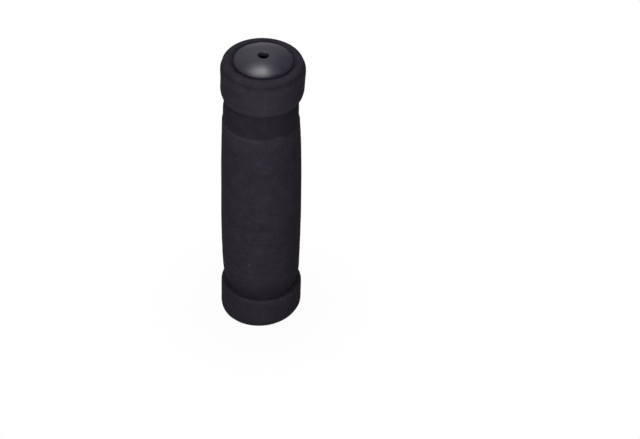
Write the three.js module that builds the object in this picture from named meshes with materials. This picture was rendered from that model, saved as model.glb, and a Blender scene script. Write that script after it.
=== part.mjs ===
// A turned foam handlebar grip with a moulded plug in its outer end, in millimetres.
// +Z runs up the bore from the open end's flat face, at Z = 0, to the plug.
import * as THREE from 'three';

// Foam sleeve: the bore, and each wall measured outward from it
const BORE_RADIUS = 9.7; // unstretched, for a bar of 22.2 mm
const OPEN_COLLAR_WALL = 7.35;
const OPEN_CREASE_WALL = 6;
const BELLY_WALL = 7.15;
const RIDGE_WALL = 6.45;
const NECK_WALL = 6.05;
const PLUG_CREASE_WALL = 4.5;
const PLUG_COLLAR_WALL = 7.75;

// Foam sleeve: lengths along the bore
const SLEEVE_LENGTH = 129.7; // open face to the crest of the rim round the plug
const OPEN_COLLAR_LENGTH = 15;
const PLUG_COLLAR_LENGTH = 18.1;
const NECK_LENGTH = 12.5; // ridge to plug collar
const RIDGE_RAMP = 1.5; // the soft step from the ridge to the neck

// Foam sleeve: the barrel between the open collar and the ridge
const BELLY_PLACE = 0.51; // share of the barrel's length where it is thickest
const BARREL_POWER = 2.7;
const NECK_POWER = 5; // how late the neck turns in to its crease

// Foam sleeve: ground and moulded edges, as height along Z and width across it
const FOOT_ROUND = { height: 4.6, width: 2.27 };
const OPEN_COLLAR_TOP_ROUND = { height: 1.8, width: 0.45 };
const PLUG_COLLAR_FOOT_ROUND = { height: 5.1, width: 2.35 };
const SHOULDER_HEIGHT = 3.9;
const DISH_WIDTH = 1.9; // the rim's slope from its crest down to the plug
const MOUTH_ROUND = 0.8;

// End plug
const SEAT_DEPTH = 1.5; // crest of the rim down to the plug's seat
const HEAD_OVERLAP = 2.7; // how far the head reaches over the edge of the bore
const HEAD_EDGE_HEIGHT = 1.5;
const HEAD_EDGE_ROUND = 1.1;
const DOME_RISE = 2.05;
const VENT_RADIUS = 2;
const VENT_CHAMFER = 0.25;
const HEAD_WALL = 2;
const STEM_LENGTH = 18;
const STEM_WALL = 1.9;
const FIN_COUNT = 4;
const FIN_DEPTH = 1.1;
const FIN_THICKNESS = 0.8;
const FIN_SLOPE = 1.6; // height of each fin's lead-in cone

// Clearances between the plug and the sleeve
const RIM_CLEARANCE = 0.3;
const BORE_CLEARANCE = 0.3;

// Mesh fineness
const SEGMENTS = 48;
const ARC_STEPS = 3;
const BARREL_STEPS = 14;
const NECK_STEPS = 7;
const DOME_STEPS = 6;

const seatZ = SLEEVE_LENGTH - SEAT_DEPTH;
const headRadius = BORE_RADIUS + HEAD_OVERLAP;

// Adds the quarter of an ellipse about (r, z) that starts at the given quarter turn.
function quarterRound(outline, r, z, width, height, quarter) {
  const start = quarter * Math.PI / 2;
  outline.absellipse(r, z, width, height, start, start + Math.PI / 2, false);
}

// Adds straight steps along a curve that gives a radius for each height.
function runAlong(outline, fromZ, toZ, steps, radiusAt) {
  for (let i = 1; i <= steps; i++) {
    const share = i / steps;
    outline.lineTo(radiusAt(share), fromZ + (toZ - fromZ) * share);
  }
}

// Turns a closed outline of (radius, height) about Z.
function turned(outline, name, color, roughness) {
  outline.closePath();
  const geometry = new THREE.LatheGeometry(outline.getPoints(ARC_STEPS), SEGMENTS);
  geometry.rotateX(Math.PI / 2);
  const material = new THREE.MeshStandardMaterial({ color, roughness, metalness: 0 });
  const mesh = new THREE.Mesh(geometry, material);
  mesh.name = name;
  return mesh;
}

// The collar that the grip stands on: flat face, rounded foot, side and soft upper edge.
function openCollar(outline) {
  const radius = BORE_RADIUS + OPEN_COLLAR_WALL;
  const foot = FOOT_ROUND;
  const top = OPEN_COLLAR_TOP_ROUND;
  outline.lineTo(radius - foot.width, 0);
  quarterRound(outline, radius - foot.width, foot.height, foot.width, foot.height, 3);
  outline.lineTo(radius, OPEN_COLLAR_LENGTH - top.height);
  quarterRound(outline, radius - top.width, OPEN_COLLAR_LENGTH - top.height, top.width, top.height, 0);
}

// The barrel from the open collar's crease to the ridge, thickest near its middle.
function barrel(outline, ridgeZ) {
  const crease = BORE_RADIUS + OPEN_CREASE_WALL;
  const belly = BORE_RADIUS + BELLY_WALL;
  const ridge = BORE_RADIUS + RIDGE_WALL;
  outline.lineTo(crease, OPEN_COLLAR_LENGTH);
  runAlong(outline, OPEN_COLLAR_LENGTH, ridgeZ, BARREL_STEPS, (share) => {
    const below = share < BELLY_PLACE;
    const span = below ? BELLY_PLACE : 1 - BELLY_PLACE;
    const drop = below ? belly - crease : belly - ridge;
    return belly - drop * (Math.abs(share - BELLY_PLACE) / span) ** BARREL_POWER;
  });
}

// The straight neck above the ridge, which turns in under the plug collar.
function neck(outline, ridgeZ, collarZ) {
  const radius = BORE_RADIUS + NECK_WALL;
  const crease = BORE_RADIUS + PLUG_CREASE_WALL;
  outline.lineTo(radius, ridgeZ + RIDGE_RAMP);
  runAlong(outline, ridgeZ + RIDGE_RAMP, collarZ, NECK_STEPS, (share) => (
    radius - (radius - crease) * share ** NECK_POWER
  ));
}

// The collar round the plug: rounded underside, side, wide shoulder, and a dished rim down to the seat.
function plugCollar(outline, collarZ) {
  const radius = BORE_RADIUS + PLUG_COLLAR_WALL;
  const rim = headRadius + RIM_CLEARANCE;
  const crest = rim + DISH_WIDTH;
  const foot = PLUG_COLLAR_FOOT_ROUND;
  outline.lineTo(radius - foot.width, collarZ);
  quarterRound(outline, radius - foot.width, collarZ + foot.height, foot.width, foot.height, 3);
  outline.lineTo(radius, SLEEVE_LENGTH - SHOULDER_HEIGHT);
  quarterRound(outline, crest, SLEEVE_LENGTH - SHOULDER_HEIGHT, radius - crest, SHOULDER_HEIGHT, 0);
  outline.lineTo(rim, seatZ);
}

function foamSleeve() {
  const collarZ = SLEEVE_LENGTH - PLUG_COLLAR_LENGTH;
  const ridgeZ = collarZ - NECK_LENGTH;
  const outline = new THREE.Path();
  outline.moveTo(BORE_RADIUS + MOUTH_ROUND, 0);
  openCollar(outline);
  barrel(outline, ridgeZ);
  neck(outline, ridgeZ, collarZ);
  plugCollar(outline, collarZ);
  outline.lineTo(BORE_RADIUS, seatZ);
  outline.lineTo(BORE_RADIUS, MOUTH_ROUND);
  quarterRound(outline, BORE_RADIUS + MOUTH_ROUND, MOUTH_ROUND, MOUTH_ROUND, MOUTH_ROUND, 2);
  return turned(outline, 'foam_sleeve', 0x2d2b31, 0.95);
}

// The plug's dome from its edge to the vent, as the cap of a sphere.
function dome(outline, edgeRadius, edgeZ) {
  const sphere = (edgeRadius ** 2 + DOME_RISE ** 2) / (2 * DOME_RISE);
  const inner = VENT_RADIUS + VENT_CHAMFER;
  const heightAt = (r) => edgeZ + DOME_RISE - sphere + Math.sqrt(sphere ** 2 - r ** 2);
  for (let i = 1; i <= DOME_STEPS; i++) {
    const r = edgeRadius + (inner - edgeRadius) * i / DOME_STEPS;
    outline.lineTo(r, heightAt(r));
  }
  outline.lineTo(VENT_RADIUS, heightAt(inner) - VENT_CHAMFER);
}

// The stem's gripping fins, from its foot up: each a lead-in cone with a flat upper side.
function fins(outline, stemRadius, stemFootZ) {
  const pitch = STEM_LENGTH / (FIN_COUNT + 1);
  for (let i = 0; i < FIN_COUNT; i++) {
    const z = stemFootZ + pitch * (i + 0.5);
    outline.lineTo(stemRadius, z);
    outline.lineTo(stemRadius + FIN_DEPTH, z + FIN_SLOPE);
    outline.lineTo(stemRadius + FIN_DEPTH, z + FIN_SLOPE + FIN_THICKNESS);
    outline.lineTo(stemRadius, z + FIN_SLOPE + FIN_THICKNESS);
  }
}

function endPlug() {
  const stemRadius = BORE_RADIUS - BORE_CLEARANCE - FIN_DEPTH;
  const hollowRadius = stemRadius - STEM_WALL;
  const stemFootZ = seatZ - STEM_LENGTH;
  const edgeTopZ = seatZ + HEAD_EDGE_HEIGHT;
  const ceilingZ = edgeTopZ + DOME_RISE - HEAD_WALL;
  const outline = new THREE.Path();
  outline.moveTo(hollowRadius, stemFootZ);
  outline.lineTo(stemRadius, stemFootZ);
  fins(outline, stemRadius, stemFootZ);
  outline.lineTo(stemRadius, seatZ);
  outline.lineTo(headRadius, seatZ);
  outline.lineTo(headRadius, edgeTopZ - HEAD_EDGE_ROUND);
  quarterRound(
    outline, headRadius - HEAD_EDGE_ROUND, edgeTopZ - HEAD_EDGE_ROUND,
    HEAD_EDGE_ROUND, HEAD_EDGE_ROUND, 0,
  );
  dome(outline, headRadius - HEAD_EDGE_ROUND, edgeTopZ);
  outline.lineTo(VENT_RADIUS, ceilingZ);
  outline.lineTo(hollowRadius, ceilingZ);
  return turned(outline, 'end_plug', 0x3b393f, 0.38);
}

const grip = new THREE.Group();
grip.add(foamSleeve(), endPlug());

export default grip;
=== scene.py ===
# A foam handlebar grip that stands on its open end, with a moulded plug in its upper end.
# Sizes are in millimetres, and heights run up from the open end's face. Meshes are made in metres.
import math

import bpy
import numpy as np
from mathutils import Matrix, Vector


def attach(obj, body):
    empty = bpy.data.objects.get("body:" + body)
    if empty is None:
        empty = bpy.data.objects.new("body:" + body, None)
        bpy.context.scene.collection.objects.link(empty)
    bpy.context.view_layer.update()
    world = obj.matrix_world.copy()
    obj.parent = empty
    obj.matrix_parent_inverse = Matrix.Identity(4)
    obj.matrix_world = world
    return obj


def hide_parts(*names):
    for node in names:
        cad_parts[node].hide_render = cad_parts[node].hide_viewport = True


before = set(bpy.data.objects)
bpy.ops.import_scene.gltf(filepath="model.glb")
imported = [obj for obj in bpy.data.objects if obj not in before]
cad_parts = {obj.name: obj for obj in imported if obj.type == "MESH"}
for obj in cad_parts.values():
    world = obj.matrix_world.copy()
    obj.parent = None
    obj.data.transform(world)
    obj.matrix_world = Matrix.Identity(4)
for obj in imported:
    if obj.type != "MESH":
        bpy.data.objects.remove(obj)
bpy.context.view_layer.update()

MM = 0.001

# Sleeve: the bore, each outside radius as a wall on it, and lengths up it
BORE = 9.7
OPEN_COLLAR = BORE + 7.35
OPEN_CREASE = BORE + 6.0
BELLY = BORE + 7.15
RIDGE = BORE + 6.45
NECK = BORE + 6.05
PLUG_CREASE = BORE + 4.5
PLUG_COLLAR = BORE + 7.75
SLEEVE_LENGTH = 129.7
OPEN_COLLAR_TOP = 15.0
PLUG_COLLAR_FOOT = SLEEVE_LENGTH - 18.1
RIDGE_TOP = PLUG_COLLAR_FOOT - 12.5
RIDGE_RAMP = 1.5
BELLY_PLACE = 0.51
BARREL_POWER = 2.7
NECK_POWER = 5

# The plug collar's side widens a little from its foot to its shoulder
COLLAR_SIDE_LOW = PLUG_COLLAR - 0.04
COLLAR_SIDE_HIGH = PLUG_COLLAR + 0.05

# The sleeve's rounds, as (width, height, steps)
FOOT_ROUND = (2.27, 4.6, 11)
OPEN_COLLAR_TOP_ROUND = (0.45, 1.8, 6)
PLUG_COLLAR_FOOT_ROUND = (2.35, 5.1, 15)
MOUTH_ROUND = (0.8, 0.8, 5)
SHOULDER_HEIGHT = 3.9
SHOULDER_STEPS = 16

# Plug. Its head's radius is 0.2 more than the solid's, and nearly fills its clearance in the foam.
SEAT = SLEEVE_LENGTH - 1.5
HEAD = BORE + 2.9
HEAD_EDGE_HEIGHT = 1.5
HEAD_EDGE_STEPS = 16
DOME_RISE = 2.05
DOME_STEPS = 40
HEAD_WALL = 2.0
STEM_LENGTH = 18.0
STEM_WALL = 1.9
FIN_COUNT = 4
FIN_DEPTH = 1.1
FIN_THICKNESS = 0.8
FIN_SLOPE = 1.6
BORE_CLEARANCE = 0.3
STEM = BORE - BORE_CLEARANCE - FIN_DEPTH

# The vent's radius is 0.15 more than the solid's, and its mouth and the head's edge are rounder
HEAD_EDGE_ROUND = 1.25
VENT = 2.15
VENT_CHAMFER = 0.4
VENT_MOUTH_STEPS = 11

# The dome's sphere has fallen by the dome's rise this far inside the head's side
DOME_INSET = 0.7

# The foam's rim round the head, and its crest, from which it dishes down to the plug
RIM = BORE + 3.0
CREST = RIM + 1.9

# The barrel turns in this much more where the open collar presses on it
TUCK = 0.9
TUCK_HEIGHT = 8.0

# The tight fold between the two, as (radius past the fold's floor, height past the collar's top)
FOLD = ((0.3, -0.1), (-0.05, -0.25), (0.0, 0.3))
BARREL_FOOT = OPEN_COLLAR_TOP + 0.3

# The soft bead where the ridge steps down to the neck, as (radius, height past the ridge's top)
BEAD = ((RIDGE + 0.03, 0.35), (NECK + 0.06, 1.1), (NECK, RIDGE_RAMP))

# The rim from its crest down to the seat and in to the bore, as (radius, height, step between points)
RIM_DISH = (
    (CREST - 0.35, SLEEVE_LENGTH - 0.14, 0.2), (RIM + 0.25, SEAT + 0.45, 0.25),
    (RIM, SEAT + 0.2, 0.15), (RIM, SEAT, 0.25), (BORE, SEAT, 0.8),
)

# One fin, as (distance out from the stem, height over the fin's foot, step between points)
FIN = (
    (0.0, 0.0, 0.6), (FIN_DEPTH, FIN_SLOPE, 0.5),
    (FIN_DEPTH, FIN_SLOPE + FIN_THICKNESS, 0.4), (0.0, FIN_SLOPE + FIN_THICKNESS, 0.4),
)

# Steps between an outline's points: along the foam, on its small edges and down its bore, and on the
# plug's stem, the side of its head, its vent and its hollow
LONG_STEP = 0.5
EDGE_STEP = 0.3
BORE_STEP = 2.4
STEM_STEP = 0.6
HEAD_STEP = 0.2
VENT_STEP = 0.4
HOLLOW_STEP = 0.8
SAME_POINT = 1e-6
SLEEVE_SEGMENTS = 256
PLUG_SEGMENTS = 192
SHARP_ANGLE = 38

# The plug's head sits this far off centre in X and Y, and the foam's rim goes with it
HEAD_OFFSET = (0.3, 0.55)

# How far the ground outside leans off the bore's line, as (height, offset along X)
LEAN = (
    (0, 0.6), (14, 0.6), (18, 0.62), (23, 0.42), (28, 0.35), (45, 0.18), (70, 0.08), (90, -0.17),
    (104, -0.5), (111, -0.2), (116, 0.05), (124, 0.3), (127.5, 0.2), (130, -0.1),
)
LEAN_HEIGHTS = np.linspace(-10, 140, 301)
LEAN_BLUR = 13  # heights averaged, half a millimetre apart

# How much fuller the ground foot stands than its nominal round, as (angle about Z in degrees, distance)
FOOT_GRIND = (
    (0, -0.85), (90, -0.2), (180, 0.3), (220, 0.55), (245, 0.5), (270, 0.1), (300, -0.5), (330, -0.7),
    (360, -0.85),
)

# The foam stands this much fuller than its nominal size all over, and this much more at the shoulder
FULLER = 0.08
FULLER_SHOULDER = 0.13

# The line pressed in the shoulder: its depth, and its height and half width
LINE_DEPTH = 0.32
LINE_PLACE = (SLEEVE_LENGTH - 2.3, 1.3)

# Soft lamps, as (name, place and size in metres, power in watts, whether gloss sees the lamp)
LAMPS = (
    ("lamp_overhead", (-0.1, 0.46, 1.35), 0.45, 2.4, True),
    ("lamp_overhead_core", (-0.04, 0.47, 1.28), 0.2, 0.85, True),
    ("lamp_near", (-0.08, -0.2, 0.68), 0.4, 1.3, True),
    ("lamp_front", (0.05, -1.4, 0.6), 0.8, 13.2, False),
    ("lamp_front_left", (-0.9, -1.2, 0.3), 0.8, 3.7, True),
    ("lamp_back_left", (-0.75, 1.2, 0.2), 0.5, 6.5, False),
    ("lamp_back_right", (0.6, 1.25, 0.3), 0.5, 5.5, False),
)
LAMP_AIM = (0, 0, 0.08)  # metres

# How bright gloss sees the sweep and the walls over it: at the left, in the middle and at the right
SWEEP_LEVELS = (0.15, 0.33, 0.1)
WALL_LEVELS = (0.3, 0.62, 0.0)
CEILING_LEVEL = 0.06

# Where one level passes into the next, along a direction's X and then along its Z
LEFT_TO_MIDDLE = (-0.5, -0.1)
MIDDLE_TO_RIGHT = (0.05, 0.4)
SWEEP_TO_WALLS = (0.25, 0.5)
WALLS_TO_CEILING = (0.62, 0.9)

# The floor's glow under the grip and from a little way off on, as (distance in metres, share of white)
FLOOR_REACH = 40.0
FLOOR_NEAR = (0.016, 0.975)
FLOOR_FAR = (0.06, 1.0)

# The camera, in millimetres and degrees, and how far it sees, in metres
CAMERA_PLACE = (25.23, -1149.07, 957.86)
CAMERA_PITCH = 38.405
CAMERA_ROLL = 1.507
CAMERA_LENS = 194.15
CAMERA_SENSOR = 36
CAMERA_CLIP = 100


def linear(code):
    """An sRGB hex colour such as "2e2b32" as linear RGBA."""
    parts = [int(code[i:i + 2], 16) / 255 for i in (0, 2, 4)]
    return tuple(c / 12.92 if c <= 0.04045 else ((c + 0.055) / 1.055) ** 2.4 for c in parts) + (1.0,)


def node(tree, kind, inputs=None, **settings):
    """Adds a node. Settings are its properties, and inputs are values or the sockets that feed them."""
    made = tree.nodes.new(kind)
    for name, value in settings.items():
        setattr(made, name, value)
    for name, value in (inputs or {}).items():
        if isinstance(value, bpy.types.NodeSocket):
            tree.links.new(value, made.inputs[name])
        else:
            made.inputs[name].default_value = value
    return made


def set_camera():
    """Stands the camera at the photograph's height, tilt and turn."""
    pitch, roll = math.radians(CAMERA_PITCH), math.radians(CAMERA_ROLL)
    forward = Vector((0, math.cos(pitch), -math.sin(pitch)))
    right = Vector((1, 0, 0))
    up = Vector((0, math.sin(pitch), math.cos(pitch)))
    rolled_right = right * math.cos(roll) + up * math.sin(roll)
    rolled_up = up * math.cos(roll) - right * math.sin(roll)
    data = bpy.data.cameras.new("camera")
    data.lens = CAMERA_LENS
    data.sensor_width = CAMERA_SENSOR
    data.sensor_fit = "HORIZONTAL"
    data.clip_end = CAMERA_CLIP
    camera = bpy.data.objects.new("camera", data)
    bpy.context.scene.collection.objects.link(camera)
    turn = Matrix((rolled_right, rolled_up, -forward)).transposed()
    camera.matrix_world = Matrix.Translation(Vector(CAMERA_PLACE) * MM) @ turn.to_4x4()
    bpy.context.scene.camera = camera


# Outlines, as lists of (radius, height)

def along(points, end, step):
    """Runs straight from the last point to the end, in steps."""
    start = points[-1]
    count = max(1, round(math.dist(start, end) / step))
    for i in range(1, count + 1):
        share = i / count
        points.append((start[0] + (end[0] - start[0]) * share, start[1] + (end[1] - start[1]) * share))


def round_corner(points, centre, width, height, steps, quarter):
    """Adds a quarter of an ellipse about the centre, anticlockwise from that quarter turn."""
    for i in range(steps + 1):
        angle = (quarter + i / steps) * math.pi / 2
        point = (centre[0] + width * math.cos(angle), centre[1] + height * math.sin(angle))
        if math.dist(points[-1], point) > SAME_POINT:
            points.append(point)


def curve_up(points, low, high, radius_at):
    """Runs up from one height to another by a rule that gives the radius for each share of the way."""
    count = round((high - low) / LONG_STEP)
    for i in range(1, count + 1):
        points.append((radius_at(i / count), low + (high - low) * i / count))


def open_collar(points):
    """The collar that the grip stands on: flat face, rounded foot, side, and the tight fold over it."""
    width, height, _ = FOOT_ROUND
    along(points, (OPEN_COLLAR - width, 0.0), LONG_STEP)
    round_corner(points, (OPEN_COLLAR - width, height), *FOOT_ROUND, 3)
    width, height, _ = OPEN_COLLAR_TOP_ROUND
    along(points, (OPEN_COLLAR, OPEN_COLLAR_TOP - height), LONG_STEP)
    round_corner(points, (OPEN_COLLAR - width, OPEN_COLLAR_TOP - height), *OPEN_COLLAR_TOP_ROUND, 0)
    for out, up in FOLD:
        along(points, (OPEN_CREASE - TUCK + out, OPEN_COLLAR_TOP + up), EDGE_STEP)


def barrel_radius(share):
    """The barrel's radius at a share of its way up to the ridge, turned in over its first few millimetres."""
    below = share < BELLY_PLACE
    span = BELLY_PLACE if below else 1 - BELLY_PLACE
    drop = BELLY - (OPEN_CREASE if below else RIDGE)
    tuck = TUCK * max(0.0, 1 - share * (RIDGE_TOP - BARREL_FOOT) / TUCK_HEIGHT) ** 2
    return BELLY - drop * (abs(share - BELLY_PLACE) / span) ** BARREL_POWER - tuck


def neck_radius(share):
    """The neck's radius at a share of its way up. It turns in late, under the plug collar."""
    return NECK - (NECK - PLUG_CREASE) * share ** NECK_POWER


def plug_collar(points):
    """The collar round the plug: rounded underside, side, wide shoulder, and a rim dished to the seat."""
    width, height, _ = PLUG_COLLAR_FOOT_ROUND
    along(points, (COLLAR_SIDE_LOW - width, PLUG_COLLAR_FOOT), EDGE_STEP)
    round_corner(points, (COLLAR_SIDE_LOW - width, PLUG_COLLAR_FOOT + height), *PLUG_COLLAR_FOOT_ROUND, 3)
    shoulder = SLEEVE_LENGTH - SHOULDER_HEIGHT
    along(points, (COLLAR_SIDE_HIGH, shoulder), LONG_STEP)
    round_corner(points, (CREST, shoulder), COLLAR_SIDE_HIGH - CREST, SHOULDER_HEIGHT, SHOULDER_STEPS, 0)
    for radius, height, step in RIM_DISH:
        along(points, (radius, height), step)


def sleeve_outline():
    """The sleeve's section, from the bore's mouth out along its foot, up its outside and down its bore."""
    mouth = MOUTH_ROUND[0]
    points = [(BORE + mouth, 0.0)]
    open_collar(points)
    curve_up(points, BARREL_FOOT, RIDGE_TOP, barrel_radius)
    for radius, up in BEAD:
        along(points, (radius, RIDGE_TOP + up), EDGE_STEP)
    curve_up(points, RIDGE_TOP + RIDGE_RAMP, PLUG_COLLAR_FOOT, neck_radius)
    plug_collar(points)
    along(points, (BORE, mouth), BORE_STEP)
    round_corner(points, (BORE + mouth, mouth), *MOUTH_ROUND, 2)
    points.pop()
    return points


def plug_head(points, apex):
    """The plug's head from its seat up its edge and over its dome to the vent."""
    # The edge's round touches the dome from inside, so that the one runs into the other without a crease
    sphere = ((HEAD - DOME_INSET) ** 2 + DOME_RISE ** 2) / (2 * DOME_RISE)
    middle = HEAD - HEAD_EDGE_ROUND
    rise = math.sqrt((sphere - HEAD_EDGE_ROUND) ** 2 - middle ** 2)
    edge_z = apex - sphere + rise
    meets = math.atan2(rise, middle)

    def dome(r):
        return apex - sphere + math.sqrt(sphere ** 2 - r ** 2)

    along(points, (HEAD, SEAT), STEM_STEP)
    along(points, (HEAD, edge_z), HEAD_STEP)
    for i in range(1, HEAD_EDGE_STEPS + 1):
        turn = meets * i / HEAD_EDGE_STEPS
        points.append((middle + HEAD_EDGE_ROUND * math.cos(turn), edge_z + HEAD_EDGE_ROUND * math.sin(turn)))
    start = points[-1][0]
    inner = VENT + VENT_CHAMFER
    for i in range(1, DOME_STEPS + 1):
        r = start + (inner - start) * i / DOME_STEPS
        points.append((r, dome(r)))
    mouth = (inner, dome(inner) - VENT_CHAMFER)
    round_corner(points, mouth, VENT_CHAMFER, VENT_CHAMFER, VENT_MOUTH_STEPS, 1)


def plug_outline():
    """The plug's section, from its stem's foot up its fins and head to the vent and down its hollow."""
    foot = SEAT - STEM_LENGTH
    hollow = STEM - STEM_WALL
    apex = SEAT + HEAD_EDGE_HEIGHT + DOME_RISE
    points = [(hollow, foot)]
    along(points, (STEM, foot), STEM_STEP)
    pitch = STEM_LENGTH / (FIN_COUNT + 1)
    for i in range(FIN_COUNT):
        z = foot + pitch * (i + 0.5)
        for out, up, step in FIN:
            along(points, (STEM + out, z + up), step)
    along(points, (STEM, SEAT), STEM_STEP)
    plug_head(points, apex)
    along(points, (VENT, apex - HEAD_WALL), VENT_STEP)
    along(points, (hollow, apex - HEAD_WALL), STEM_STEP)
    along(points, (hollow, foot), HOLLOW_STEP)
    points.pop()
    return points


# Turned meshes, and the foam's shape by hand

def turned(name, outline, segments):
    """Turns a closed outline about Z into a mesh object, in metres, with its faces outward."""
    ring = np.linspace(0, 2 * math.pi, segments, endpoint=False)
    section = np.array(outline) * MM
    radius, height = section[:, 0:1], section[:, 1:2]
    spread = np.stack(
        [radius * np.cos(ring), radius * np.sin(ring), np.repeat(height, segments, axis=1)], axis=2,
    )
    count = len(outline)
    here = np.arange(count * segments).reshape(count, segments)
    right = np.roll(here, -1, axis=1)
    above = np.roll(here, -1, axis=0)
    above_right = np.roll(above, -1, axis=1)
    faces = np.stack([here, right, above_right, above], axis=2).reshape(-1, 4)
    mesh = bpy.data.meshes.new(name)
    mesh.from_pydata(spread.reshape(-1, 3).tolist(), [], faces.tolist())
    mesh.polygons.foreach_set("use_smooth", [True] * len(mesh.polygons))
    mesh.set_sharp_from_angle(angle=math.radians(SHARP_ANGLE))
    made = bpy.data.objects.new(name, mesh)
    bpy.context.scene.collection.objects.link(made)
    return made


def corners(mesh):
    """The mesh's points as rows of X, Y and Z in millimetres."""
    flat = np.zeros(len(mesh.vertices) * 3)
    mesh.vertices.foreach_get("co", flat)
    return flat.reshape(-1, 3) / MM


def ease(value, low, high):
    """0 below low, 1 above high, and a smooth rise between."""
    share = np.clip((value - low) / (high - low), 0, 1)
    return share * share * (3 - 2 * share)


def band(value, middle, half_width):
    """1 at the middle, falling off to 0 on both sides."""
    return np.exp(-(((value - middle) / half_width) ** 2))


def between(value, rise, fall):
    """1 between a smooth rise over one pair of values and a smooth fall over another, and 0 outside them."""
    return ease(value, *rise) * (1 - ease(value, *fall))


# What is ground and pressed by hand follows no rule, and nor do the painted highlights and painted shade, so
# their heights, radii and angles are given one by one

def leaned(z):
    """How far the outside leans along X at each height."""
    lean = np.pad(np.interp(LEAN_HEIGHTS, *zip(*LEAN)), LEAN_BLUR // 2, mode="edge")
    smooth = np.convolve(lean, np.ones(LEAN_BLUR) / LEAN_BLUR, mode="valid")
    return np.interp(z, LEAN_HEIGHTS, smooth)


def swollen(z, radius, angle, outside):
    """How far each point of the outside stands out past the outline, less where a line is pressed in."""
    out = np.interp(angle, *zip(*FOOT_GRIND)) * (1 - ease(z, 0.5, 4.5)) * ease(radius, 12.5, 14.8)
    out += FULLER * outside + FULLER_SHOULDER * ease(z, 121, 125) * ease(radius, 14.8, 16.5)
    return out - LINE_DEPTH * band(z, *LINE_PLACE) * ease(radius, 15.2, 16.3)


def painted_highlight_places(z, radius, angle):
    """Where highlights are painted in, making the ground foam paler."""
    # Painted highlight on the ridge's bead on its left side, where the light falls, and on the barrel just
    # under it
    left = ease(-np.cos(np.radians(angle)), -0.5, 0.4)
    painted_highlight = 0.75 * band(z, RIDGE_TOP + 0.3, 0.6) * left + 0.35 * band(z, RIDGE_TOP - 2, 3)
    # Painted highlight on the plug collar's shoulder and underside, and on the crest of its rim, where their
    # edges catch the light
    painted_highlight += 0.4 * band(z, SLEEVE_LENGTH - 4.9, 1.5)
    painted_highlight += 0.65 * band(z, PLUG_COLLAR_FOOT + 2.2, 1.5)
    painted_highlight += 0.4 * band(z, SLEEVE_LENGTH, 1.0) * ease(radius, 13.5, 14.3)
    # The plug collar's whole side is a little paler, a painted highlight where more light falls on it
    painted_highlight += 0.2 * between(z, (PLUG_COLLAR_FOOT + 1, PLUG_COLLAR_FOOT + 5), (124, 128))
    # Painted highlight on the front of the plug collar, where the front lamp shines, with one narrow paler
    # streak up it
    collar_span = between(z, (PLUG_COLLAR_FOOT, PLUG_COLLAR_FOOT + 3), (122, 125))
    return painted_highlight + (0.36 * band(angle, 268, 17) + 0.6 * band(angle, 275, 1.8)) * collar_span


def painted_shade_places(z, radius, angle):
    """Where shade is painted in, making the ground foam darker."""
    # Painted shade on the neck under the plug collar, in the fold over the open collar, and in the line
    # pressed in the shoulder
    painted_shade = 0.65 * between(z, (RIDGE_TOP + 0.6, RIDGE_TOP + 1.6), (PLUG_COLLAR_FOOT - 1, PLUG_COLLAR_FOOT))
    painted_shade += 0.85 * band(z, OPEN_COLLAR_TOP + 2.5, 4.5) * ease(z, OPEN_COLLAR_TOP - 0.4, OPEN_COLLAR_TOP + 0.3)
    painted_shade += 0.6 * band(z, SLEEVE_LENGTH - 2.5, 0.8) * ease(radius, 15.5, 16.5)
    # Painted shade on the open collar, darkest at its foot by the floor
    painted_shade += 0.3 * (1 - ease(z, 12, 14)) + 0.35 * (1 - ease(z, 0, 6.5))
    # Painted shade on one side of the barrel's lower half
    return painted_shade + 0.3 * band(angle, 325, 35) * between(z, (15, 18), (35, 70))


def shape_by_hand(sleeve):
    """Leans and grinds the outside as by hand, and marks where it is ground and dusty and where highlights
    and shade are painted.
    """
    mesh = sleeve.data
    at = corners(mesh)
    z = at[:, 2]
    radius = np.hypot(at[:, 0], at[:, 1])
    angle = np.degrees(np.arctan2(at[:, 1], at[:, 0])) % 360
    outside = ease(radius, BORE + 1.2, BORE + 3.2)
    # Next to the plug's head the rim follows the head's own offset
    by_head = (1 - ease(radius, 13, 15)) * ease(z, SEAT - 2, SEAT)
    across = leaned(z) * (1 - by_head) + HEAD_OFFSET[0] * by_head
    stretch = 1 + swollen(z, radius, angle, outside) / np.maximum(radius, 1)
    moved = at.copy()
    moved[:, 0] = at[:, 0] * stretch + across * outside
    moved[:, 1] = at[:, 1] * stretch + HEAD_OFFSET[1] * by_head * outside
    mesh.vertices.foreach_set("co", (moved * MM).ravel())

    ground = outside * (1 - band(z, SLEEVE_LENGTH, 1.4)) * ease(z, 0.05, 1.0)
    marks = {
        "ground": ground,
        # Dust settles on the shoulder most
        "dusty": ground * (0.1 + 0.9 * ease(z, 123, 126) * ease(radius, 13.2, 14)),
        # Painted highlight and painted shade, for the foam's colour
        "painted_highlight": painted_highlight_places(z, radius, angle) * outside,
        "painted_shade": painted_shade_places(z, radius, angle) * outside,
    }
    for name, values in marks.items():
        mesh.attributes.new(name, "FLOAT", "POINT").data.foreach_set("value", np.clip(values, 0, 1))


def shift_head(plug):
    """Moves the plug's head off its stem's centre, as it was moulded."""
    at = corners(plug.data)
    at[:, :2] += np.array(HEAD_OFFSET) * ease(at[:, 2], SEAT - 0.8, SEAT - 0.1)[:, None]
    plug.data.vertices.foreach_set("co", (at * MM).ravel())


# Relief and crumbs, by Geometry Nodes

def new_tree(name, sizes):
    """A Geometry Nodes tree with a mesh in and out, a material, and an input for each named size."""
    tree = bpy.data.node_groups.new(name, "GeometryNodeTree")
    tree.interface.new_socket("Geometry", in_out="INPUT", socket_type="NodeSocketGeometry")
    tree.interface.new_socket("Geometry", in_out="OUTPUT", socket_type="NodeSocketGeometry")
    tree.interface.new_socket("Material", in_out="INPUT", socket_type="NodeSocketMaterial")
    for label in sizes:
        kind = "NodeSocketInt" if label == "Seed" else "NodeSocketFloat"
        tree.interface.new_socket(label, in_out="INPUT", socket_type=kind)
    return tree


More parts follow.
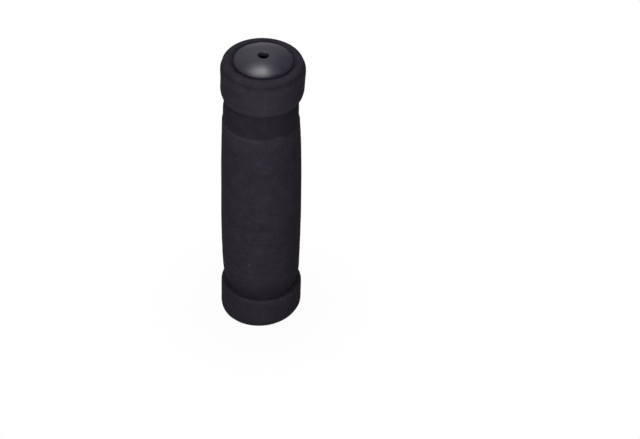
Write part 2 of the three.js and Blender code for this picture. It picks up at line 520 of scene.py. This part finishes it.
def end_tree(tree, given, geometry):
    """Makes a tree's geometry real, dresses it in the given material and sends it out."""
    real = node(tree, "GeometryNodeRealizeInstances", {"Geometry": geometry})
    dressed = node(
        tree, "GeometryNodeSetMaterial",
        {"Geometry": real.outputs[0], "Material": given.outputs["Material"]},
    )
    node(tree, "NodeGroupOutput", {0: dressed.outputs[0]})


def relief_tree(sizes):
    """Waves and dimples left in the foam by grinding, along each point's normal."""
    tree = new_tree("foam_relief", sizes)
    given = node(tree, "NodeGroupInput")
    place = node(tree, "GeometryNodeInputPosition")
    # Another seed moves both patterns to another place in the noise
    seed = node(tree, "ShaderNodeMath", {0: given.outputs["Seed"], 1: 1.7}, operation="MULTIPLY")
    depths = []
    for wide, deep in (("Wave width", "Wave depth"), ("Dimple width", "Dimple depth")):
        scale = node(tree, "ShaderNodeMath", {0: 1.0, 1: given.outputs[wide]}, operation="DIVIDE")
        noise = node(tree, "ShaderNodeTexNoise", {
            "Vector": place.outputs[0], "W": seed.outputs[0], "Scale": scale.outputs[0], "Detail": 1.5,
        }, noise_dimensions="4D")
        centred = node(tree, "ShaderNodeMath", {0: noise.outputs[0], 1: 0.5}, operation="SUBTRACT")
        depths.append(node(
            tree, "ShaderNodeMath", {0: centred.outputs[0], 1: given.outputs[deep]}, operation="MULTIPLY",
        ).outputs[0])
    total = node(tree, "ShaderNodeMath", {0: depths[0], 1: depths[1]}, operation="ADD")
    ground = node(tree, "GeometryNodeInputNamedAttribute", {"Name": "ground"}, data_type="FLOAT")
    masked = node(tree, "ShaderNodeMath", {0: total.outputs[0], 1: ground.outputs[0]}, operation="MULTIPLY")
    normal = node(tree, "GeometryNodeInputNormal")
    offset = node(
        tree, "ShaderNodeVectorMath", {0: normal.outputs[0], "Scale": masked.outputs[0]}, operation="SCALE",
    )
    moved = node(
        tree, "GeometryNodeSetPosition", {"Geometry": given.outputs["Geometry"], "Offset": offset.outputs[0]},
    )
    end_tree(tree, given, moved.outputs[0])
    return tree


def crumb_tree(sizes):
    """Crumbs of foam dust that cling to the ground surface, scattered at random."""
    tree = new_tree("foam_crumbs", sizes)
    given = node(tree, "NodeGroupInput")
    dusty = node(tree, "GeometryNodeInputNamedAttribute", {"Name": "dusty"}, data_type="FLOAT")
    density = node(
        tree, "ShaderNodeMath",
        {0: dusty.outputs[0], 1: given.outputs["Crumbs per square metre"]}, operation="MULTIPLY",
    )
    spread = node(tree, "GeometryNodeDistributePointsOnFaces", {
        "Mesh": given.outputs["Geometry"], "Density": density.outputs[0], "Seed": given.outputs["Seed"],
    })
    crumb = node(
        tree, "GeometryNodeMeshIcoSphere", {"Radius": given.outputs["Crumb radius"], "Subdivisions": 1},
    )
    # Each crumb is flattened and stretched by shares of its radius between these two
    squash = node(tree, "FunctionNodeRandomValue", {
        0: (0.4, 0.4, 0.25), 1: (1.3, 1.0, 0.5), "Seed": given.outputs["Seed"],
    }, data_type="FLOAT_VECTOR")
    copies = node(tree, "GeometryNodeInstanceOnPoints", {
        "Points": spread.outputs["Points"], "Instance": crumb.outputs[0],
        "Rotation": spread.outputs["Rotation"], "Scale": squash.outputs[0],
    })
    end_tree(tree, given, copies.outputs[0])
    return tree


def grown(name, base, make_tree, sizes, material):
    """The mesh that a tree makes from the base object, as an object of its own."""
    tree = make_tree(sizes)
    modifier = base.modifiers.new(name, "NODES")
    modifier.node_group = tree
    values = dict(sizes, Material=material)
    for item in tree.interface.items_tree:
        if item.in_out == "INPUT" and item.name in values:
            modifier[item.identifier] = values[item.name]
    depsgraph = bpy.context.evaluated_depsgraph_get()
    mesh = bpy.data.meshes.new_from_object(base.evaluated_get(depsgraph))
    mesh.name = name
    # Every face wears the one material, so the mesh keeps one slot for it
    mesh.materials.clear()
    mesh.materials.append(material)
    base.modifiers.remove(modifier)
    made = bpy.data.objects.new(name, mesh)
    bpy.context.scene.collection.objects.link(made)
    return made


# Materials

def new_material(name):
    """An empty node material, with its tree, shader and Object coordinates."""
    material = bpy.data.materials.new(name)
    material.use_nodes = True
    tree = material.node_tree
    tree.nodes.clear()
    shader = node(tree, "ShaderNodeBsdfPrincipled")
    node(tree, "ShaderNodeOutputMaterial", {"Surface": shader.outputs[0]})
    return material, tree, shader, node(tree, "ShaderNodeTexCoord").outputs["Object"]


def per_metre(size_mm):
    """The texture scale at which one feature is that many millimetres wide."""
    return 1 / (size_mm * MM)


def ground_foam():
    """Closed-cell nitrile foam, ground to shape: matt as suede, with cut cells and dust, and with painted
    highlights and painted shade.
    """
    material, tree, shader, where = new_material("ground_closed_cell_foam")
    mottle = node(tree, "ShaderNodeTexNoise", {"Vector": where, "Scale": per_metre(5), "Detail": 4.0})
    # Real cells are about 0.2 mm, too fine for the render, so they are drawn at 0.75 mm
    cells = node(tree, "ShaderNodeTexVoronoi", {"Vector": where, "Scale": per_metre(0.75)}, feature="F1")
    grain = node(tree, "ShaderNodeTexNoise", {"Vector": where, "Scale": per_metre(0.6), "Detail": 3.0})
    # The grinding wheel leaves faint rings: long round the sleeve and 1.3 mm apart up it
    flat = node(tree, "ShaderNodeMapping", {"Vector": where, "Scale": (0.05, 0.05, 1.0)})
    rings = node(tree, "ShaderNodeTexNoise", {
        "Vector": flat.outputs[0], "Scale": per_metre(1.3), "Detail": 2.0,
    })
    patches = node(tree, "ShaderNodeMapRange", {"Value": mottle.outputs[0], "From Min": 0.3, "From Max": 0.7})
    colour = node(tree, "ShaderNodeMix", {
        "Factor": patches.outputs[0], 6: linear("2d2a32"), 7: linear("36323b"),
    }, data_type="RGBA").outputs[2]
    # The grain and the rings make the colour lighter and darker by these shares
    for pattern, high, change in ((grain, 0.72, 0.22), (rings, 0.7, 0.035)):
        shade = node(tree, "ShaderNodeMapRange", {
            "Value": pattern.outputs[0], "From Min": 0.3, "From Max": high,
            "To Min": 1 - change, "To Max": 1 + change,
        })
        colour = node(tree, "ShaderNodeMix", {
            "Factor": 1.0, 6: colour, 7: shade.outputs[0],
        }, data_type="RGBA", blend_type="MULTIPLY").outputs[2]
    # Painted highlights make the foam paler, and painted shade makes it darker
    for mark, strength, code in (("painted_highlight", 0.35, "4a474f"), ("painted_shade", 0.6, "211f20")):
        marked = node(tree, "ShaderNodeAttribute", attribute_name=mark)
        share = node(tree, "ShaderNodeMath", {0: marked.outputs["Fac"], 1: strength}, operation="MULTIPLY")
        colour = node(tree, "ShaderNodeMix", {
            "Factor": share.outputs[0], 6: colour, 7: linear(code),
        }, data_type="RGBA").outputs[2]
    # Each relief lies on the one before it, with its depth in millimetres
    bumps = []
    for height, strength, depth in (
        (cells.outputs["Distance"], 0.35, 0.12), (grain.outputs[0], 0.35, 0.15),
        (rings.outputs[0], 0.12, 0.1),
    ):
        under = {"Normal": bumps[-1]} if bumps else {}
        bumps.append(node(tree, "ShaderNodeBump", {
            "Strength": strength, "Distance": depth * MM, "Height": height, **under,
        }).outputs[0])
    dull = node(tree, "ShaderNodeMapRange", {
        "Value": mottle.outputs[0], "From Min": 0.3, "From Max": 0.7, "To Min": 0.86, "To Max": 0.98,
    })
    tree.links.new(colour, shader.inputs["Base Color"])
    tree.links.new(bumps[-1], shader.inputs["Normal"])
    tree.links.new(dull.outputs[0], shader.inputs["Roughness"])
    shader.inputs["Specular IOR Level"].default_value = 0.05
    return material


def foam_dust():
    """Dust ground off the foam, paler than the foam because its cells are torn open."""
    material, tree, shader, where = new_material("ground_foam_dust")
    shade = node(tree, "ShaderNodeTexNoise", {"Vector": where, "Scale": per_metre(2), "Detail": 2.0})
    torn = node(tree, "ShaderNodeMapRange", {"Value": shade.outputs[0], "From Min": 0.35, "From Max": 0.65})
    colour = node(tree, "ShaderNodeMix", {
        "Factor": torn.outputs[0], 6: linear("45424a"), 7: linear("77747c"),
    }, data_type="RGBA")
    tree.links.new(colour.outputs[2], shader.inputs["Base Color"])
    shader.inputs["Roughness"].default_value = 0.95
    shader.inputs["Specular IOR Level"].default_value = 0.2
    return material


def moulded_plastic():
    """Black polyethylene as it left the mould: satin, with the mould's fine spark texture."""
    material, tree, shader, where = new_material("moulded_black_polyethylene")
    cloud = node(tree, "ShaderNodeTexNoise", {"Vector": where, "Scale": per_metre(4), "Detail": 3.0})
    # The mould's spark texture is about 0.05 mm, and it is drawn at 0.7 mm so that it shows
    texture = node(tree, "ShaderNodeTexNoise", {"Vector": where, "Scale": per_metre(0.7), "Detail": 3.0})
    clouded = node(tree, "ShaderNodeMapRange", {"Value": cloud.outputs[0], "From Min": 0.3, "From Max": 0.7})
    colour = node(tree, "ShaderNodeMix", {
        "Factor": clouded.outputs[0], 6: linear("2f2b37"), 7: linear("36323f"),
    }, data_type="RGBA")
    satin = node(tree, "ShaderNodeMapRange", {"Value": clouded.outputs[0], "To Min": 0.28, "To Max": 0.33})
    bump = node(tree, "ShaderNodeBump", {
        "Strength": 0.3, "Distance": 0.04 * MM, "Height": texture.outputs[0],
    })
    tree.links.new(colour.outputs[2], shader.inputs["Base Color"])
    tree.links.new(satin.outputs[0], shader.inputs["Roughness"])
    tree.links.new(bump.outputs[0], shader.inputs["Normal"])
    shader.inputs["IOR"].default_value = 1.5
    # The moulded skin is glossier than the haze under it, so a lamp shows with a bright core
    shader.inputs["Coat Weight"].default_value = 0.13
    shader.inputs["Coat Roughness"].default_value = 0.18
    return material


# Studio

def seen_share(tree, path, in_gloss):
    """1 for what the eye sees, straight or through something, and the given share for what gloss sees."""
    seen = node(tree, "ShaderNodeMath", {0: path.outputs["Is Camera Ray"], 1: in_gloss}, operation="MAXIMUM")
    return node(tree, "ShaderNodeMath", {
        0: seen.outputs[0], 1: path.outputs["Is Transmission Ray"],
    }, operation="MAXIMUM").outputs[0]


def make_floor():
    """A white floor that shows as paper white and still takes the grip's soft shadow near it."""
    mesh = bpy.data.meshes.new("floor")
    sides = ((-1, -1), (1, -1), (1, 1), (-1, 1))
    mesh.from_pydata([(x * FLOOR_REACH, y * FLOOR_REACH, 0) for x, y in sides], [], [(0, 1, 2, 3)])
    floor = bpy.data.objects.new("floor", mesh)
    bpy.context.scene.collection.objects.link(floor)
    material = bpy.data.materials.new("floor_paper")
    material.use_nodes = True
    tree = material.node_tree
    tree.nodes.clear()
    where = node(tree, "ShaderNodeTexCoord").outputs["Object"]
    far = node(tree, "ShaderNodeVectorMath", {0: where}, operation="LENGTH")
    glow = node(tree, "ShaderNodeMapRange", {
        "Value": far.outputs["Value"], "From Min": FLOOR_NEAR[0], "From Max": FLOOR_FAR[0],
        "To Min": FLOOR_NEAR[1], "To Max": FLOOR_FAR[1],
    }, interpolation_type="SMOOTHSTEP")
    path = node(tree, "ShaderNodeLightPath")
    seen = seen_share(tree, path, path.outputs["Is Glossy Ray"])
    share = node(tree, "ShaderNodeMath", {0: glow.outputs[0], 1: seen}, operation="MULTIPLY")
    paper = node(tree, "ShaderNodeBsdfDiffuse", {"Color": (0.3, 0.3, 0.3, 1)})
    white = node(tree, "ShaderNodeEmission", {"Color": (1, 1, 1, 1), "Strength": 1.0})
    mixed = node(tree, "ShaderNodeMixShader", {
        0: share.outputs[0], 1: paper.outputs[0], 2: white.outputs[0],
    })
    node(tree, "ShaderNodeOutputMaterial", {"Surface": mixed.outputs[0]})
    mesh.materials.append(material)


def light_world():
    """White to the eye. Gloss sees the sweep low down and a dim studio over it, darkest at the right."""
    world = bpy.data.worlds.new("studio")
    bpy.context.scene.world = world
    world.use_nodes = True
    tree = world.node_tree
    tree.nodes.clear()
    path = node(tree, "ShaderNodeLightPath")
    way = node(tree, "ShaderNodeSeparateXYZ", {0: node(tree, "ShaderNodeTexCoord").outputs["Generated"]})
    heights = []
    for left, middle, right in (SWEEP_LEVELS, WALL_LEVELS):
        to_right = node(tree, "ShaderNodeMapRange", {
            "Value": way.outputs["X"], "From Min": MIDDLE_TO_RIGHT[0], "From Max": MIDDLE_TO_RIGHT[1],
            "To Min": middle, "To Max": right,
        }, interpolation_type="SMOOTHSTEP")
        heights.append(node(tree, "ShaderNodeMapRange", {
            "Value": way.outputs["X"], "From Min": LEFT_TO_MIDDLE[0], "From Max": LEFT_TO_MIDDLE[1],
            "To Min": left, "To Max": to_right.outputs[0],
        }, interpolation_type="SMOOTHSTEP"))
    walls = node(tree, "ShaderNodeMapRange", {
        "Value": way.outputs["Z"], "From Min": SWEEP_TO_WALLS[0], "From Max": SWEEP_TO_WALLS[1],
        "To Min": heights[0].outputs[0], "To Max": heights[1].outputs[0],
    }, interpolation_type="SMOOTHSTEP")
    studio = node(tree, "ShaderNodeMapRange", {
        "Value": way.outputs["Z"], "From Min": WALLS_TO_CEILING[0], "From Max": WALLS_TO_CEILING[1],
        "To Min": walls.outputs[0], "To Max": CEILING_LEVEL,
    }, interpolation_type="SMOOTHSTEP")
    glossy = node(tree, "ShaderNodeMath", {
        0: path.outputs["Is Glossy Ray"], 1: studio.outputs[0],
    }, operation="MULTIPLY")
    seen = seen_share(tree, path, glossy.outputs[0])
    dark = node(tree, "ShaderNodeBackground", {"Color": (1, 1, 1, 1), "Strength": 0.0})
    white = node(tree, "ShaderNodeBackground", {"Color": (1, 1, 1, 1), "Strength": 1.0})
    mixed = node(tree, "ShaderNodeMixShader", {0: seen, 1: dark.outputs[0], 2: white.outputs[0]})
    node(tree, "ShaderNodeOutputWorld", {"Surface": mixed.outputs[0]})


def soft_lamp(name, place, size, power, in_gloss):
    """A square soft lamp that faces the grip's middle. One that gloss doesn't see leaves no glint."""
    data = bpy.data.lights.new(name, "AREA")
    data.size = size
    data.energy = power
    lamp = bpy.data.objects.new(name, data)
    bpy.context.scene.collection.objects.link(lamp)
    lamp.location = place
    aim = Vector(LAMP_AIM) - Vector(place)
    lamp.rotation_euler = aim.to_track_quat("-Z", "Y").to_euler()
    lamp.visible_camera = False
    lamp.visible_glossy = in_gloss


set_camera()
make_floor()
light_world()
for lamp in LAMPS:
    soft_lamp(*lamp)

foam = ground_foam()
base = turned("sleeve_base", sleeve_outline(), SLEEVE_SEGMENTS)
shape_by_hand(base)
sleeve = grown("sleeve_foam", base, relief_tree, {
    "Wave width": 14 * MM, "Wave depth": 0.22 * MM,
    "Dimple width": 2.4 * MM, "Dimple depth": 0.09 * MM, "Seed": 5,
}, foam)
crumbs = grown("sleeve_dust", sleeve, crumb_tree, {
    "Crumbs per square metre": 27000.0, "Crumb radius": 0.2 * MM, "Seed": 5,
}, foam_dust())
bpy.data.objects.remove(base)
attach(sleeve, "root")
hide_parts("foam_sleeve")
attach(crumbs, "root")

plug = turned("plug_moulding", plug_outline(), PLUG_SEGMENTS)
shift_head(plug)
plug.data.materials.append(moulded_plastic())
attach(plug, "root")
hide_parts("end_plug")

bpy.context.scene.view_settings.view_transform = "Standard"
